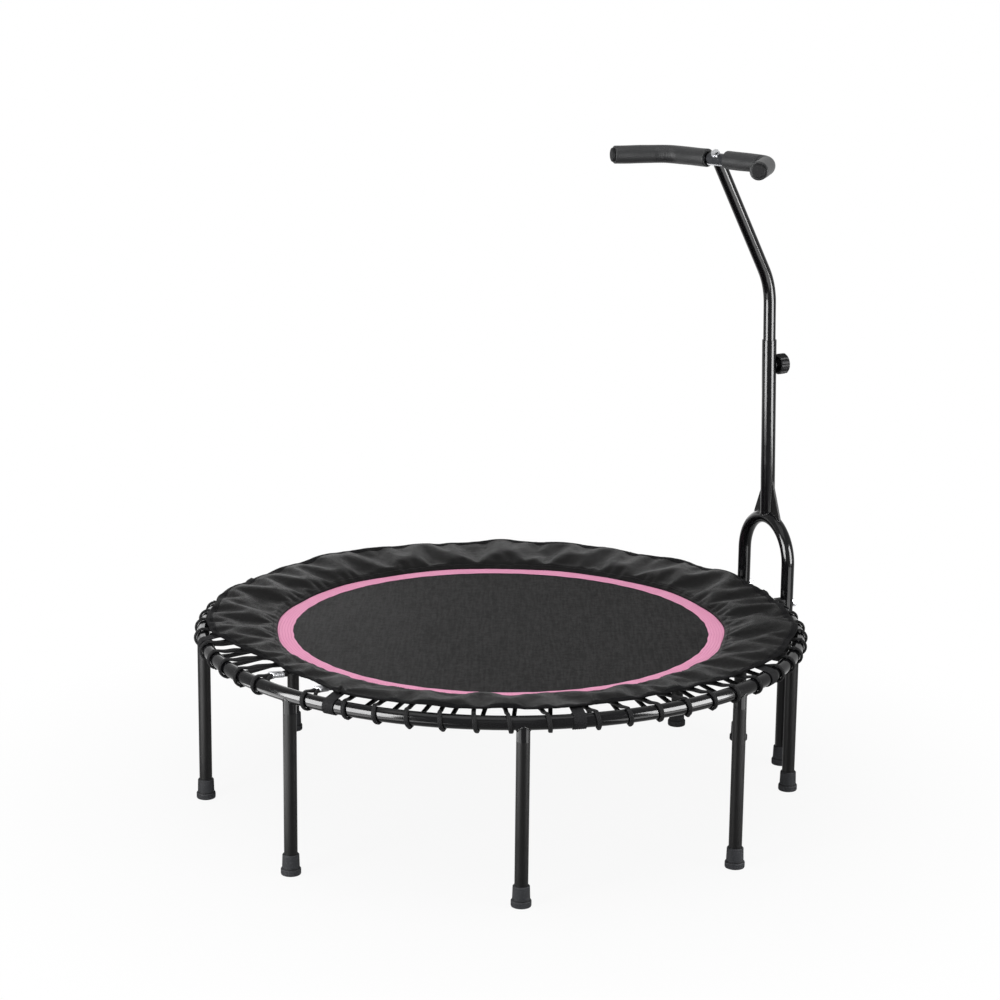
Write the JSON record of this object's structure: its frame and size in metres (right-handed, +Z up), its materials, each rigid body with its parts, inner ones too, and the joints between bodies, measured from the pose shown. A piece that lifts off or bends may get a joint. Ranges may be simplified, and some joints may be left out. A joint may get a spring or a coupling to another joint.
{
  "type": "mini trampoline",
  "caption": "Round fitness rebounder: mat laced to a tube ring with elastic cord, slack cover cloth, legs with rubber feet and a height-adjustable T-handle",
  "frame": {"origin": "on the floor under the middle of the outline, midway from the ring's front to the knob's face", "axes": "+Z up, +Y towards the handle, +X to the right of a user who faces the handle"},
  "size_m": [1.1544, 1.1886, 1.2197],
  "materials": {
    "black_paint": "gloss black powder coat",
    "leg_paint": "satin black powder coat",
    "rubber": "dark grey moulded rubber",
    "steel": "zinc-plated steel",
    "chrome": "bright plated steel",
    "black_plastic": "fine-textured black plastic",
    "nylon": "natural nylon",
    "foam": "matte closed-cell foam",
    "mat_weave": "dense dark grey woven polypropylene",
    "pink_band": "pink webbing with rows of stitching",
    "webbing": "black woven webbing",
    "cord": "black braided cover on a rubber core",
    "cover_cloth": "black coated cloth with a dull sheen"
  },
  "bodies": {
    "frame": {"ring_rear": "black_paint", "ring_front": "black_paint", "ring_spigot_1": "steel", "ring_spigot_2": "steel", "leg_1": "leg_paint", "leg_2": "leg_paint", "leg_3": "leg_paint", "leg_4": "leg_paint", "leg_5": "leg_paint", "leg_6": "leg_paint", "leg_7": "leg_paint", "leg_8": "leg_paint", "foot_1": "rubber", "foot_2": "rubber", "foot_3": "rubber", "foot_4": "rubber", "foot_5": "rubber", "foot_6": "rubber", "foot_7": "rubber", "foot_8": "rubber", "fork": "black_paint", "fork_foot_left": "rubber", "fork_foot_right": "rubber", "fork_spacer_left": "black_plastic", "fork_spacer_right": "black_plastic", "fork_bolt_left": "steel", "fork_bolt_right": "steel", "fork_nut_left": "steel", "fork_nut_right": "steel", "gusset_left": "black_paint", "gusset_right": "black_paint", "post_sleeve": "black_paint", "clamp_boss": "black_paint", "cord_a": "cord", "cord_b": "cord", "cord_crimps": "steel", "cover": "cover_cloth", "cover_straps": "webbing"},
    "clamp": {"clamp_pad": "nylon"},
    "knob": {"knob_screw": "steel", "knob": "black_plastic"},
    "glide": {"post_glide": "nylon"},
    "handle": {"stem": "black_paint", "bar_cradle": "steel", "handlebar": "chrome", "bar_bolt": "steel", "grip_left": "foam", "grip_right": "foam", "bar_plug_left": "black_plastic", "bar_plug_right": "black_plastic"},
    "mat": {"mat_panel": "mat_weave", "mat_band": "pink_band", "mat_loops": "webbing"}
  },
  "joints": [
    {"name": "mat_bounce", "type": "slide", "parent": "frame", "child": "mat", "axis": [0, 0, 1], "range_m": [-0.15, 0], "stiffness_N_per_m": 6500, "deforming": ["cord_a", "cord_b", "cord_crimps", "cover"]},
    {"name": "handle_height", "type": "slide", "parent": "frame", "child": "glide", "axis": [0, -0.0279, 0.9996], "range_m": [-0.06, 0.1]},
    {"name": "handle_swivel", "type": "hinge", "parent": "glide", "child": "handle", "pos_m": [0, 0.55735, 0.83986], "axis": [0, -0.0279, 0.9996], "range_deg": [-48, 30]},
    {"name": "clamp_travel", "type": "slide", "parent": "frame", "child": "clamp", "axis": [0, 0.9996, 0.0279], "range_m": [0, 0.0025]},
    {"name": "knob_turn", "type": "hinge", "parent": "clamp", "child": "knob", "pos_m": [0, 0.57704, 0.79039], "axis": [0, 0.9996, 0.0279], "range_deg": [0, 720]}
  ],
  "couplings": [
    {"joint": "clamp_travel", "follows": "knob_turn", "m_per_rad": 0.00019894}
  ]
}
